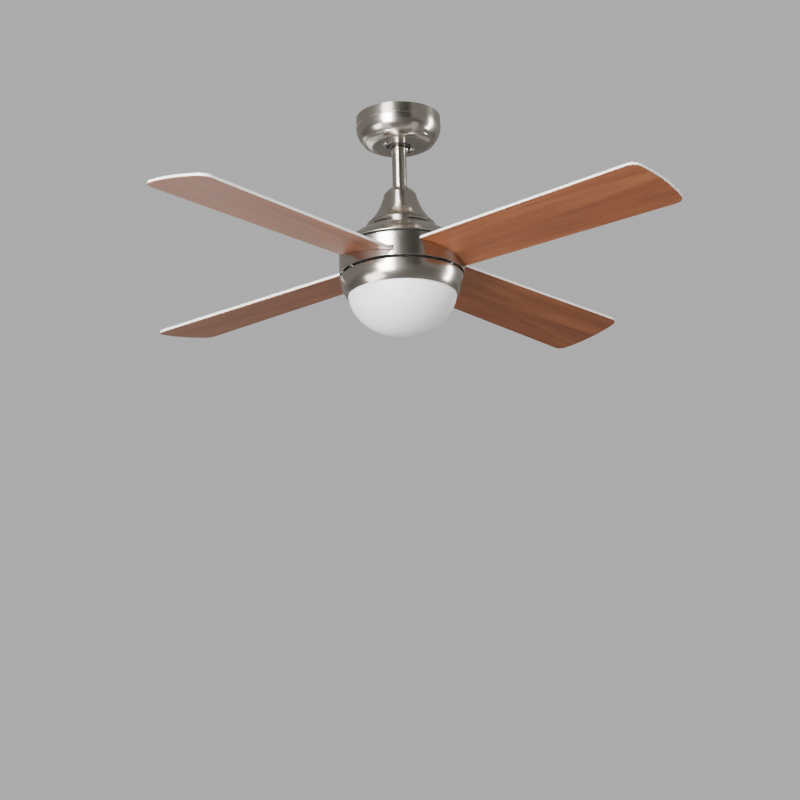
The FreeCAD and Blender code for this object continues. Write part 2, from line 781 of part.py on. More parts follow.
def make_downrod():
    blank = tube("rod_tube", size.rod_radius, size.rod_radius - size.rod_wall, rod_top - rod_bottom,
                 z=rod_bottom)
    upper = cylinder("rod_pin_hole", size.ball_pin_radius + size.slip_fit, 60, y=-30, z=pin_level, **ALONG_Y)
    lower = cylinder("rod_clevis_hole", size.clevis_pin_radius + size.slip_fit, 60,
                     y=-30, z=clevis_level, **ALONG_Y)
    return cut("downrod", blank, [upper, lower])


def make_motor_coupling():
    """Collar that holds the rod above and the motor shaft below, with a flange for the covers."""
    body = turned("coupling_body", [
        (size.shaft_radius + size.slip_fit, coupling_bottom),
        (size.coupling_flange_radius, coupling_bottom),
        (size.coupling_flange_radius, coupling_bottom + size.coupling_flange),
        (size.coupling_radius, coupling_bottom + size.coupling_flange),
        (size.coupling_radius, coupling_top),
        (size.rod_radius + size.slip_fit, coupling_top),
        (size.rod_radius + size.slip_fit, rod_bottom),
        (size.shaft_radius + size.slip_fit, rod_bottom),
    ])
    clevis = cylinder("coupling_clevis_hole", size.clevis_pin_radius + size.slip_fit, 80,
                      y=-40, z=clevis_level, **ALONG_Y)
    set_screw_bore = size.set_screw_radius + size.slip_fit
    upper = cylinder("coupling_screw_bore", set_screw_bore, 80, y=-40, z=rod_screw_level, **ALONG_Y)
    lower = cylinder("coupling_shaft_bore", set_screw_bore, 80, y=-40, z=shaft_screw_level, **ALONG_Y)
    flange_hole = cylinder("flange_hole", size.screw_radius + size.slip_fit, 10,
                           x=size.cover_screw_circle, z=coupling_bottom - 3)
    flange_holes = around("flange_holes", flange_hole, 3, first=90)
    return cut("motor_coupling", body, [clevis, upper, lower, flange_holes])


def make_clevis_pin():
    start = -(size.coupling_radius + 1.0)
    length = 2 * size.coupling_radius + 8.0
    shank = cylinder("clevis_shank", size.clevis_pin_radius, length, y=start, z=clevis_level, **ALONG_Y)
    head = cylinder("clevis_head", size.clevis_pin_radius + 1.8, 2, y=start - 1.2, z=clevis_level, **ALONG_Y)
    hole = cylinder("clip_hole", 0.8 + size.slip_fit, 20, x=-10, y=clip_spot, z=clevis_level, **ALONG_X)
    return cut("clevis_pin", fuse("clevis_blank", [shank, head]), [hole])


def make_hairpin_clip():
    """Spring clip: one leg through the clevis pin, the other over it."""
    wire = 0.8
    offset = size.clevis_pin_radius + wire + 0.1
    points = [
        (6.5, clip_spot, clevis_level),
        (-6.0, clip_spot, clevis_level),
        (-9.5, clip_spot, clevis_level + offset / 2),
        (-6.0, clip_spot, clevis_level + offset),
        (6.5, clip_spot, clevis_level + offset),
    ]
    return lead("hairpin_clip", points, wire)


def make_set_screws():
    """Grub screws: one in the ball, two on the rod and two on the motor shaft."""
    radius = size.set_screw_radius
    screws = [grub_screw("ball_grub", radius, size.ball_radius - size.rod_radius - 2,
                         x=size.rod_radius, z=pivot - 3, **ALONG_X)]
    rod_length = size.coupling_radius - size.rod_radius + 1.5
    shaft_length = size.coupling_radius - size.shaft_radius + 1.5
    for side in (-1, 1):
        facing = {"axis": (1, 0, 0), "angle": -90 * side}
        screws.append(grub_screw(f"rod_grub_{side + 2}", radius, rod_length,
                                 y=side * size.rod_radius, z=rod_screw_level, **facing))
        screws.append(grub_screw(f"shaft_grub_{side + 2}", radius, shaft_length,
                                 y=side * size.shaft_radius, z=shaft_screw_level, **facing))
    return group("set_screws", screws)


# ---------------------------------------------------------------- covers

def make_cone_cover():
    wall = size.cover_wall
    shoulder = cone_top - size.cone_shoulder_drop
    shoulder_bend = size.cone_shoulder_bend
    flare_bend = size.cone_flare_bend
    return turned("cone_cover", [
        (size.cone_hole_radius, cone_top),
        (size.cone_hole_radius, cone_top - wall, -(shoulder_bend - wall)),
        (size.cone_shoulder_radius - wall, shoulder, flare_bend + wall),
        (size.seam_radius - wall, seam),
        (size.seam_radius, seam, -flare_bend),
        (size.cone_shoulder_radius, shoulder, shoulder_bend),
    ])


def make_motor_cover():
    """Flared cover: flat top under the coupling, cooling slots below the seam, rolled lip at the rim."""
    wall = size.cover_wall
    neck = size.seam_radius - wall - 0.3
    crown = size.coupling_flange_radius + 4
    collar = size.seam_radius + size.collar_overhang
    collar_foot = seam - size.collar_height
    bend = size.cover_bend
    lip = 1.1
    ledge = seam - 0.3
    shell = turned("cover_shell", [
        (size.shaft_radius + 1.5, cover_top - wall),
        (crown - 0.4, cover_top - wall),
        (neck - 3.1, ledge - wall),
        (neck + 0.9 - wall, ledge - wall),
        (collar - wall, collar_foot - wall, -(bend - wall)),
        (size.cover_radius - wall - lip, cover_rim + lip),
        (size.cover_radius - wall - lip, cover_rim),
        (size.cover_radius - lip, cover_rim, lip),
        (size.cover_radius - lip * 0.5, cover_rim + lip * 1.8, bend),
        (collar, collar_foot),
        (neck + 1, ledge),
        (neck - 2.5, ledge),
        (crown, cover_top),
        (size.shaft_radius + 1.5, cover_top),
    ])
    vent_level = seam - size.vent_drop - size.vent_width
    vent = ring_sector("vent", size.seam_radius + 20, size.seam_radius - 6, size.vent_width,
                       size.vent_length_angle, vent_level)
    vents = around("vents", vent, 6, first=0)
    hole = cylinder("cover_screw_hole", size.screw_radius + size.slip_fit, 10,
                    x=size.cover_screw_circle, z=cover_top - 5)
    holes = around("cover_screw_holes", hole, 3, first=90)
    return cut("motor_cover", shell, [vents, holes])


def make_cover_screws():
    one = screw("cover_screw", size.screw_radius, 6.5, 3.6, 2.2,
                x=size.cover_screw_circle, z=coupling_bottom + size.coupling_flange)
    return around("cover_screws", one, 3, first=90)


# ---------------------------------------------------------------- motor, still parts

def make_motor_shaft():
    shoulder_bottom = plate_top
    shoulder_top = lower_bearing
    shaft = turned("shaft_body", [
        (size.shaft_bore, plate_bottom - 9),
        (size.shaft_radius, plate_bottom - 9),
        (size.shaft_radius, shoulder_bottom),
        (size.shaft_shoulder_radius, shoulder_bottom),
        (size.shaft_shoulder_radius, shoulder_top),
        (size.shaft_radius, shoulder_top),
        (size.shaft_radius, shaft_top),
        (size.shaft_bore, shaft_top),
    ])
    outlet = cylinder("shaft_outlet", size.lead_radius + 2.5, 20, z=stator_top + 10.8, **ALONG_X)
    return cut("motor_shaft", shaft, [outlet])


STATOR_SLOTS = 12


def make_stator_core():
    core = tube("core_blank", size.stator_radius, size.shaft_radius + size.slip_fit, size.stator_height,
                z=stator_bottom)
    well_radius = 5.6
    well_circle = winding_circle
    wells = []
    for number, shift in enumerate((0, -7)):
        wells.append(cylinder(f"slot_well_{number + 1}", well_radius - number, size.stator_height + 2,
                              x=well_circle + shift, z=stator_bottom - 1))
    mouth = block("slot_mouth", 20, 3, size.stator_height + 2, x=size.stator_radius - 5, z=stator_bottom - 1)
    slots = around("stator_slots", fuse("stator_slot", [*wells, mouth]), STATOR_SLOTS)
    return cut("stator_core", core, [slots])


def make_stator_windings():
    """Copper in every slot, joined by the end turns above and below the core."""
    circle = winding_circle
    bar = cylinder("slot_copper", 5.4, size.stator_height + size.winding_height, x=circle,
                   z=stator_bottom - size.winding_height / 2)
    bars = around("slot_coppers", bar, STATOR_SLOTS)
    rings = []
    for name, level in (("upper", stator_top + 0.3), ("lower", stator_bottom - 0.3 - size.winding_height)):
        rings.append(turned(f"{name}_end_turns", [
            (circle - 10, level),
            (circle + 8, level),
            (circle + 8, level + size.winding_height * 0.6, 4.0),
            (circle + 5, level + size.winding_height),
            (circle - 7, level + size.winding_height, 4.0),
            (circle - 10, level + size.winding_height * 0.6),
        ]))
    return fuse("stator_windings", [bars, *rings])


def bearing_ring(label, inner, outer, level):
    """One race of a ball bearing, with the groove that the balls run in."""
    ring = tube(label + "_ring", outer, inner, size.bearing_width, z=level)
    groove = DOC.addObject("Part::Torus", label + "_groove")
    bind(groove, "Radius1", size.bearing_pitch_radius)
    bind(groove, "Radius2", size.bearing_ball_radius + size.slip_fit)
    place(groove, z=level + size.bearing_width / 2)
    return cut(label, ring, [groove])


def make_bearings():
    inner_rings = []
    outer_rings = []
    ball_sets = []
    race_gap = size.bearing_ball_radius * 0.55
    for name, level in (("upper", upper_bearing), ("lower", lower_bearing)):
        inner_rings.append(bearing_ring(f"{name}_inner_race", size.shaft_radius + size.slip_fit,
                                        size.bearing_pitch_radius - race_gap, level))
        outer_rings.append(bearing_ring(f"{name}_outer_race", size.bearing_pitch_radius + race_gap,
                                        size.bearing_outer_radius, level))
        ball = sphere(f"{name}_ball", size.bearing_ball_radius, x=size.bearing_pitch_radius,
                      z=level + size.bearing_width / 2)
        ball_sets.append(around(f"{name}_balls", ball, 9))
    return (group("bearing_inner_rings", inner_rings), group("bearing_outer_rings", outer_rings),
            group("bearing_balls", ball_sets))


# ---------------------------------------------------------------- rotor

def make_rotor_ring():
    inner = size.stator_radius + size.air_gap
    ring = tube("ring_blank", size.rotor_ring_radius, inner, size.stator_height, z=stator_bottom)
    hole = cylinder("ring_screw_hole", size.rotor_screw_bore, size.stator_height + 4,
                    x=rotor_screw_circle, z=stator_bottom - 2)
    holes = around("ring_screw_holes", hole, 4, first=size.blade_azimuth + 45)
    return cut("rotor_ring", ring, [holes])


def make_rotor_upper_cover():
    """Domed cover with the upper bearing's seat; its ledge and skirt hold the rotor ring."""
    hub_top = upper_bearing + size.bearing_width + 2.0
    seat = size.bearing_outer_radius + size.slip_fit
    wall = size.rotor_cover_wall
    shoulder = stator_top + size.rotor_dome
    ledge = size.stator_radius + size.air_gap
    body = turned("upper_cover_body", [
        (seat - 2.5, hub_top),
        (seat - 2.5, upper_bearing + size.bearing_width),
        (seat, upper_bearing + size.bearing_width),
        (seat, upper_bearing),
        (seat + 3.5, upper_bearing),
        (seat + 3.5, shoulder - wall - 1),
        (size.stator_radius - 6, shoulder - wall - 3),
        (ledge, stator_top),
        (size.rotor_ring_radius + size.slip_fit, stator_top),
        (size.rotor_ring_radius + size.slip_fit, stator_bottom),
        (rotor_edge, stator_bottom),
        (rotor_edge, stator_top - 1.5),
        (size.rotor_ring_radius - 1, stator_top + 3),
        (size.stator_radius - 5, shoulder - 3),
        (seat + 5, shoulder),
        (seat + 3.5, hub_top),
    ])
    hole = cylinder("upper_cover_tap", size.rotor_screw_bore, 6, x=rotor_screw_circle, z=stator_top - 3.2)
    holes = around("upper_cover_taps", hole, 4, first=size.blade_azimuth + 45)
    return cut("rotor_upper_cover", body, [holes])


def make_rotor_lower_cover():
    seat = size.bearing_outer_radius + size.slip_fit
    wall = size.rotor_cover_wall
    floor_top = rotor_bottom + wall
    body = turned("lower_cover_body", [
        (size.shaft_shoulder_radius + 2.5, rotor_bottom - 1.5),
        (seat + 4, rotor_bottom - 1.5),
        (seat + 4, rotor_bottom),
        (rotor_edge, rotor_bottom),
        (rotor_edge, stator_bottom),
        (size.stator_radius + size.air_gap, stator_bottom),
        (size.stator_radius + size.air_gap, floor_top),
        (seat + 3.5, floor_top),
        (seat + 3.5, lower_bearing + size.bearing_width),
        (seat, lower_bearing + size.bearing_width),
        (seat, lower_bearing),
        (size.shaft_shoulder_radius + 2.5, lower_bearing),
    ])
    hole = cylinder("lower_cover_hole", size.rotor_screw_bore, 30, x=rotor_screw_circle, z=rotor_bottom - 5)
    holes = around("lower_cover_holes", hole, 4, first=size.blade_azimuth + 45)
    iron_holes = around("iron_taps", group("iron_tap_pair", iron_screw_bores()), 4, first=size.blade_azimuth)
    return cut("rotor_lower_cover", body, [holes, iron_holes])


def make_rotor_screws():
    length = stator_top + 2.2 - (rotor_bottom - size.strap_thickness)
    one = screw("rotor_screw", 2.0, length, 3.8, 2.4, x=rotor_screw_circle,
                z=rotor_bottom - size.strap_thickness, **UPSIDE_DOWN)
    return around("rotor_screws", one, 4, first=size.blade_azimuth + 45)


# ---------------------------------------------------------------- band and blades

def pitched(label, item):
    """Tip an item that lies flat, underside at z = 0, to a blade's pitch and level."""
    return group(label, [item], z=blade_level, axis=(1, 0, 0), angle=-size.blade_pitch)


def make_blade_band():
    band = turned("band_blank", [
        (size.band_radius - size.band_wall, band_bottom),
        (size.band_radius - 0.4, band_bottom),
        (size.band_radius, band_bottom + 0.4),
        (size.band_radius, band_top - 0.4),
        (size.band_radius - 0.4, band_top),
        (size.band_radius - size.band_wall, band_top),
    ])
    gap = size.blade_slot_gap
    slot = block("band_slot_flat", 30, size.blade_root_width + 2 * size.blade_slot_margin,
                 blade_thickness + size.iron_plate + 2 * gap, x=size.band_radius - 8, z=-gap)
    slots = around("band_slots", pitched("band_slot", slot), 4, first=size.blade_azimuth)
    return cut("blade_band", band, [slots])


def make_band_brackets():
    """Four angle straps, spot-welded inside the band and held by the rotor's screws."""
    strap = size.strap_thickness
    face = size.band_radius - size.band_wall
    foot_inner = rotor_screw_circle - 7
    width = 11.0
    tab_height = 16.0
    foot = block("strap_foot", face - foot_inner, width, strap, x=(face + foot_inner) / 2,
                 z=rotor_bottom - strap)
    tab = block("strap_tab", 5, width, tab_height, x=face - 2.5, z=rotor_bottom - tab_height)
    inside_band = cylinder("strap_limit", face - 0.05, 60, z=rotor_bottom - 40)
    behind_tab = cylinder("strap_back", face - strap, 60, z=rotor_bottom - 60 - strap)
    trimmed = common("strap_trimmed", fuse("strap_blank", [foot, tab]), inside_band)
    hole = cylinder("strap_hole", size.rotor_screw_bore, 10, x=rotor_screw_circle, z=rotor_bottom - 5)
    one = cut("strap", trimmed, [behind_tab, hole])
    return around("band_brackets", one, 4, first=size.blade_azimuth + 45)


def blade_outline(inset):
    """Blade seen from above: straight flared sides, rounded corners and a bowed tip.

    The corner arcs are tangent to the side and to the tip, so their ends come from the
    centre of the corner circle.
    """
    root_half = size.blade_root_width / 2 - inset
    tip_half = size.blade_tip_width / 2 - inset
    start = blade_root
    tip = size.blade_tip_radius - inset
    corner = size.blade_corner - inset
    bow = size.blade_tip_bow
    flare = (tip_half - root_half) / (size.blade_tip_radius - start)
    slant = root(1 + flare * flare)
    # centre of the corner circle: at distance corner from the side and bow - corner from the bow's centre
    bow_centre = tip - bow
    centre_v = tip_half - corner
    for _ in range(3):
        centre_u = bow_centre + root((bow - corner) * (bow - corner) - centre_v * centre_v)
        centre_v = root_half + flare * (centre_u - start) - corner * slant
    side_u = centre_u - corner * flare / slant
    side_v = centre_v + corner / slant
    reach = bow / (bow - corner)
    nose_u = bow_centre + (centre_u - bow_centre) * reach
    nose_v = centre_v * reach
    return [
        (start, -root_half),
        (side_u, -side_v, corner),
        (nose_u, -nose_v, bow),
        (nose_u, nose_v, corner),
        (side_u, side_v),
        (start, root_half),
    ]


def blade_screw_spots():
    """Three screws hold each blade, seen from above in the blade's own frame."""
    return ((iron_reach - 12, 0), (iron_reach - 40, -15), (iron_reach - 40, 15))


def make_blades():
    board = plate("blade_board_flat", blade_outline(measure(0)), size.blade_board)
    bores = [cylinder(f"blade_bore_{n + 1}", size.blade_screw_bore, 10, x=x, y=y, z=1.4)
             for n, (x, y) in enumerate(blade_screw_spots())]
    drilled = group("blade_flat", [cut("blade_drilled", board, bores)], z=size.blade_laminate)
    skin = plate("laminate_flat", blade_outline(size.blade_edge_band), size.blade_laminate)
    made = []
    for number in range(4):
        azimuth = size.blade_azimuth + 90 * number
        made.append(group(f"blade_{number + 1}", [pitched(f"blade_pitched_{number + 1}", drilled)],
                          angle=azimuth))
        made.append(group(f"blade_laminate_{number + 1}",
                          [pitched(f"laminate_pitched_{number + 1}", skin)], angle=azimuth))
    return made


def make_iron_twist():
    """Twisted neck of an iron, lofted in code from its level foot to its pitched arm."""
    pitch = math.radians(size.blade_pitch.value)
    half = size.iron_width.value / 2
    thick = size.iron_plate.value
    foot_end = iron_foot_end.value
    foot_floor = rotor_bottom.value - thick
    arm_floor = blade_thickness.value
    foot = [VECTOR(foot_end, v, foot_floor + z) for v, z in
            ((-half, 0), (half, 0), (half, thick), (-half, thick))]
    arm_top = arm_floor + thick
    arm = []
    for v, z in ((-half, arm_floor), (half, arm_floor), (half, arm_top), (-half, arm_top)):
        arm.append(VECTOR(blade_root.value + 4,
                          v * math.cos(pitch) + z * math.sin(pitch),
                          blade_level.value - v * math.sin(pitch) + z * math.cos(pitch)))
    thing = DOC.addObject("Part::Feature", "iron_twist")
    wires = [Part.makePolygon([*corners, corners[0]]) for corners in (foot, arm)]
    thing.Shape = Part.makeLoft(wires, True, True)
    return thing


def make_blade_irons():
    """Four irons: level foot under the rotor, twisted neck, pitched arm on top of the blade."""
    thick = size.iron_plate
    foot_start = size.iron_foot
    foot = block("iron_foot_plate", iron_foot_end - foot_start, size.iron_width, thick,
                 x=(iron_foot_end + foot_start) / 2, z=rotor_bottom - thick)
    start = blade_root + 4
    half = size.iron_width / 2
    nose = 12.0
    arm = plate("iron_arm_flat", [
        (start, -half),
        (iron_reach - 40, -half - 3),
        (iron_reach - 26, -half),
        (iron_reach, -nose, nose * 1.5),
        (iron_reach, nose),
        (iron_reach - 26, half),
        (iron_reach - 40, half + 3),
        (start, half),
    ], thick)
    raised_arm = group("iron_arm_raised", [arm], z=blade_thickness)
    blank = fuse("iron_blank", [foot, make_iron_twist(), pitched("iron_arm", raised_arm)])
    arm_bores = [cylinder(f"arm_bore_{n + 1}", size.blade_screw_bore, 20, x=x, y=y, z=blade_thickness - 5)
                 for n, (x, y) in enumerate(blade_screw_spots())]
    tools = [pitched("arm_bores", group("arm_bores_flat", arm_bores)), *iron_screw_bores("iron")]
    return around("blade_irons", cut("iron", blank, tools), 4, first=size.blade_azimuth)


def iron_screw_spots():
    return (size.iron_foot + 9, size.iron_foot + 25)


def iron_screw_bores(name="cover"):
    return [cylinder(f"{name}_iron_bore_{n + 1}", size.set_screw_radius + size.slip_fit, 20,
                     x=x, z=rotor_bottom - 10)
            for n, x in enumerate(iron_screw_spots())]


def make_iron_screws():
    pair = [screw(f"iron_screw_{n + 1}", size.set_screw_radius, size.iron_plate + size.rotor_cover_wall + 0.5,
                  4.6, 2.8, x=x, z=rotor_bottom - size.iron_plate, **UPSIDE_DOWN)
            for n, x in enumerate(iron_screw_spots())]
    return around("iron_screws", group("iron_screw_pair", pair), 4, first=size.blade_azimuth)


def make_blade_screws():
    trio = [screw(f"blade_screw_{n + 1}", 2.0, size.iron_plate + size.blade_board - 1.6, 3.8, 2.2, x=x, y=y,
                  z=blade_thickness + size.iron_plate)
            for n, (x, y) in enumerate(blade_screw_spots())]
    flat = group("blade_screw_trio", trio)
    return around("blade_screws", pitched("blade_screws_pitched", flat), 4, first=size.blade_azimuth)


# ---------------------------------------------------------------- lamp

def make_lamp_plate():
    disc = tube("plate_disc", housing_screw_circle + 2.8, size.shaft_radius + size.slip_fit, size.lamp_plate,
                z=plate_bottom)
    hole = cylinder("plate_screw_hole", 1.5 + size.slip_fit, 6, x=housing_screw_circle, z=plate_bottom - 2)
    return cut("lamp_plate", disc, [around("plate_screw_holes", hole, 4, first=45)])


def make_lamp_housing():
    wall = size.housing_wall
    bend = size.housing_bend
    shell = turned("housing_shell", [
        (size.housing_radius - 15, housing_top),
        (size.housing_radius - 15, plate_top),
        (size.housing_radius - wall - 0.3, plate_top, -(bend - wall)),
        (size.housing_rim_radius - wall, housing_rim),
        (size.housing_rim_radius, housing_rim, bend),
        (size.housing_radius, housing_top - 1),
        (size.housing_radius - 1, housing_top),
    ])
    hole = cylinder("housing_screw_tap", 1.5 + size.slip_fit, 6, x=housing_screw_circle, z=housing_top - 5)
    return cut("lamp_housing", shell, [around("housing_screw_taps", hole, 4, first=45)])


def make_housing_screws():
    one = screw("housing_screw", 1.5, size.lamp_plate + size.housing_wall - 0.1, 2.5, 1.8,
                x=housing_screw_circle, z=plate_bottom, **UPSIDE_DOWN)
    return around("housing_screws", one, 4, first=45)


def make_shaft_nut():
    nut = hexagon("nut_blank", 12, 6, z=plate_bottom - 6)
    bore = cylinder("nut_bore", size.shaft_radius + size.slip_fit, 10, z=plate_bottom - 8)
    return cut("shaft_nut", nut, [bore])


def make_shade_keeper():
    """Ring under the lamp plate; three inward tabs carry the glass bowl's lugs."""
    outer = size.tab_reach + 5.6
    wall = size.housing_wall
    tab_floor = lug_level - 0.1 - size.tab_thick
    wall_ring = tube("keeper_wall", outer, outer - wall, plate_bottom - tab_floor, z=tab_floor)
    flange = tube("keeper_flange", outer, outer - 13, wall, z=plate_bottom - wall)
    tab = ring_sector("keeper_tab", outer - wall / 2, size.tab_reach, size.tab_thick, size.tab_angle,
                      tab_floor)
    tabs = around("keeper_tabs", tab, 3, first=90)
    return fuse("shade_keeper", [wall_ring, flange, tabs])


def make_shade_ring():
    """Bayonet ring bonded to the glass: it seats on the rim and has three outward lugs."""
    reach = size.tab_reach - 0.4
    lug_top = lug_level + size.lug_thick
    inner = size.glass_radius - size.glass_wall - 3.0
    spigot = size.glass_radius - size.glass_wall - 0.6
    ring = turned("ring_body", [
        (inner, glass_level - 5),
        (spigot, glass_level - 5),
        (spigot, glass_level),
        (reach, glass_level),
        (reach, lug_top),
        (inner, lug_top),
    ])
    lug = ring_sector("ring_lug", size.tab_reach + 3.6, reach - 2, size.lug_thick, size.lug_angle, lug_level)
    return fuse("shade_ring", [ring, around("ring_lugs", lug, 3, first=90)])


def make_glass_shade():
    wall = size.glass_wall
    outside = ellipsoid("glass_outside", size.glass_radius, size.glass_depth, z=glass_level)
    inside = ellipsoid("glass_inside", size.glass_radius - wall, size.glass_depth - wall, z=glass_level)
    above = cylinder("glass_above", size.glass_radius + 5, size.glass_depth + 5, z=glass_level)
    return cut("glass_shade", outside, [inside, above])


def both_lamps(label, items):
    """The same pieces for the left and the right lamp."""
    flat = group(label + "_one", items)
    return around(label, flat, 2)


def make_lamps():
    offset = size.bulb_offset
    rim = plate_bottom - size.holder_height
    base = cylinder("holder_base", size.holder_radius + 5, 3, x=offset, z=plate_bottom - 3)
    barrel = cylinder("holder_barrel", size.holder_radius, size.holder_height, x=offset, z=rim)
    socket = cylinder("holder_socket", 7.0, size.holder_height - 4, x=offset, z=rim - 0.01)
    screw_circle = size.holder_radius + 2.6
    screw_radius = 1.2
    holes = [cylinder(f"holder_hole_{n + 1}", screw_radius + size.slip_fit, 10, x=offset,
                      y=side * screw_circle, z=plate_bottom - 8) for n, side in enumerate((-1, 1))]
    inlet = cylinder("holder_inlet", 1.6, size.holder_radius, x=offset - size.holder_radius - 5, y=2.2,
                     z=plate_bottom - 17.4, **ALONG_X)
    holder = cut("holder", fuse("holder_blank", [base, barrel]), [socket, inlet, *holes])
    screws = [screw(f"holder_screw_{n + 1}", screw_radius, 2.9, 2.0, 1.5, x=offset,
                    y=side * screw_circle, z=plate_bottom - 3, **UPSIDE_DOWN)
              for n, side in enumerate((-1, 1))]
    cap = cylinder("cap_one", 6.7, size.holder_height - 6, x=offset, z=rim - 1)
    ball = sphere("globe_ball", size.bulb_radius, x=offset, z=rim - size.bulb_radius - 2)
    neck_height = size.bulb_radius * 0.45
    neck = cone("globe_neck", size.bulb_radius * 0.83, 9.0, neck_height, x=offset,
                z=rim - 1 - neck_height)
    globe = fuse("globe_one", [ball, neck])
    return (both_lamps("lamp_holders", [holder]), both_lamps("holder_screws", screws),
            both_lamps("bulb_caps", [cap]), both_lamps("bulb_globes", [globe]))


def make_capacitor():
    """Motor capacitor: a sealed box with a fixing foot, under the lamp plate."""
    length, width, height = 46.0, 22.0, 19.0
    body = block("capacitor_body", length, width, height, y=-52, z=plate_bottom - height)
    foot = block("capacitor_foot", length + 20, 12, 1.6, y=-52, z=plate_bottom - 1.6)
    return fuse("capacitor", [body, foot])


# ---------------------------------------------------------------- assembly

def make_everything():
    case, cover, board = make_receiver()
    terminal_block, terminal_screws = make_terminals()
    inner_rings, outer_rings, balls = make_bearings()
    holders, holder_screws, caps, globes = make_lamps()
    return [
        make_ceiling_bracket(), make_canopy(), make_canopy_screws(), case, cover, board,
        terminal_block, terminal_screws, make_earth_screw(), make_supply_lead(),
        make_swivel_key(),
        make_hanger_ball(), make_ball_pin(), make_downrod(), make_set_screws(),
        make_motor_coupling(), make_clevis_pin(), make_hairpin_clip(),
        make_cone_cover(), make_motor_cover(), make_cover_screws(),
        make_motor_shaft(), make_stator_core(), make_stator_windings(),
        inner_rings, balls, make_motor_lead(), make_lamp_leads(),
        make_lamp_plate(), make_shaft_nut(), make_lamp_housing(), make_housing_screws(),
        make_shade_keeper(), holders, holder_screws, caps, globes, make_capacitor(),
        make_rotor_upper_cover(), make_rotor_lower_cover(), make_rotor_ring(), make_rotor_screws(),
        outer_rings, make_blade_band(), make_band_brackets(), *make_blades(),
        make_blade_irons(), make_iron_screws(), make_blade_screws(),
        make_shade_ring(), make_glass_shade(),
    ]


def check_document():
    """Stop if any object failed, or if a sub-part's shape is empty or broken."""
    failed = [thing.Name for thing in DOC.Objects
              if any(word in thing.State for word in ("Invalid", "Error"))]
    if failed:
        raise RuntimeError("failed objects: " + ", ".join(failed))


def write_parts(parts):
    os.makedirs("parts", exist_ok=True)
    for part in parts:
        shape = part.Shape
        if shape.isNull() or not shape.isValid() or not shape.Solids:
            raise RuntimeError(part.Label + " has no valid shape")
        shape.exportStep(f"parts/{part.Label}.step")
        print(f"{part.Label:24s} solids {len(shape.Solids):3d} volume {shape.Volume:12.1f}")


PARTS = make_everything()
DOC.recompute()
check_document()
write_parts(PARTS)
print(len(PARTS), "nodes")
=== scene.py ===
import json
import math

import bpy
from mathutils import Matrix, Vector

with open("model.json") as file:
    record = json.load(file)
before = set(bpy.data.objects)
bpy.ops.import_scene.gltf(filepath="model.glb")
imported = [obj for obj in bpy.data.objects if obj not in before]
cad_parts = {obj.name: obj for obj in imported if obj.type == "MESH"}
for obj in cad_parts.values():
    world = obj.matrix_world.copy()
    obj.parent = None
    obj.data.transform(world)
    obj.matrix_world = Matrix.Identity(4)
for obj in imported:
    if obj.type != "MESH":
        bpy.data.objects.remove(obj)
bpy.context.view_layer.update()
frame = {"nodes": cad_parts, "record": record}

# The blades stand a quarter turn apart from this azimuth, in degrees.
BLADE_AZIMUTH = 49.5
BLADE_COUNT = 4

# Sockets that share their name with others on the same node, so they are picked by number.
MIX_FIRST_COLOUR = 6
MIX_SECOND_COLOUR = 7
MIX_COLOUR_RESULT = 2
MIX_FIRST_SHADER = 1
MIX_SECOND_SHADER = 2

# Most of a noise texture's values lie between these two.
NOISE_LOW = 0.3
NOISE_HIGH = 0.7


# ---------------------------------------------------------------- shader helpers

def colour_ramp(nodes, links, source, stops):
    """Colours along a source from 0 to 1; a stop is (position, colour)."""
    node = nodes.new("ShaderNodeValToRGB")
    elements = node.color_ramp.elements
    while len(elements) < len(stops):
        elements.new(0.5)
    for element, (position, colour) in zip(elements, stops):
        element.position = position
        element.color = (*colour, 1.0)
    links.new(source, node.inputs["Fac"])
    return node.outputs["Color"]


